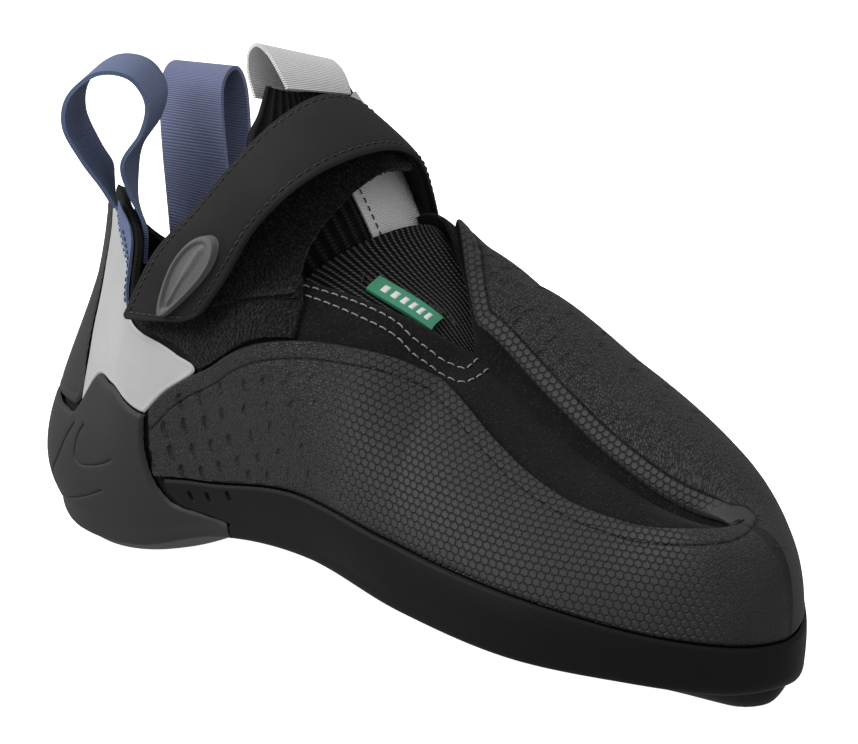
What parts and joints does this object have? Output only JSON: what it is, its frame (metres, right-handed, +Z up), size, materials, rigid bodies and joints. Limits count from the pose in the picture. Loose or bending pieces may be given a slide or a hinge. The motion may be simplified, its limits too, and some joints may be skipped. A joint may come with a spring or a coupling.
{
  "type": "climbing shoe",
  "caption": "Downturned climbing shoe for the right foot with a moulded sole, textured rubber rand, knit tongue, closing strap over the instep and webbing pull loops",
  "frame": {"origin": "the middle of the heel's flat spot, on the floor", "axes": "+X runs to the toe, +Y to the inner (medial) side and +Z up"},
  "size_m": [0.2391, 0.0829, 0.1404],
  "materials": {
    "black_suede": "black suede-like microfibre",
    "black_rubber": "textured rubber sheet",
    "sole_rubber": "smooth moulded rubber",
    "grey_microfibre": "smooth light grey microfibre",
    "black_knit": "ribbed elastic knit",
    "hook_fabric": "fuzzy loop fabric",
    "strap_fabric": "black strap with stitched edges",
    "blue_webbing": "slate blue grosgrain tape",
    "grey_webbing": "light grey woven tape",
    "grey_badge": "matt moulded grey",
    "green_label": "green woven label",
    "insole_board": "dark lined board"
  },
  "bodies": {
    "root": {"collar_tape": "blue_webbing", "heel_cup": "sole_rubber", "heel_panel_lateral": "grey_microfibre", "heel_panel_medial": "grey_microfibre", "heel_strip": "black_rubber", "hook_flap": "hook_fabric", "insole": "insole_board", "knit_gusset": "black_knit", "outsole": "sole_rubber", "pull_loop_lateral": "blue_webbing", "pull_loop_medial": "blue_webbing", "rand": "black_rubber", "side_label": "green_label", "strap": "strap_fabric", "strap_badge": "grey_badge", "tongue": "black_knit", "tongue_loop": "grey_webbing", "tongue_tape": "grey_webbing", "upper": "black_suede"}
  },
  "joints": []
}
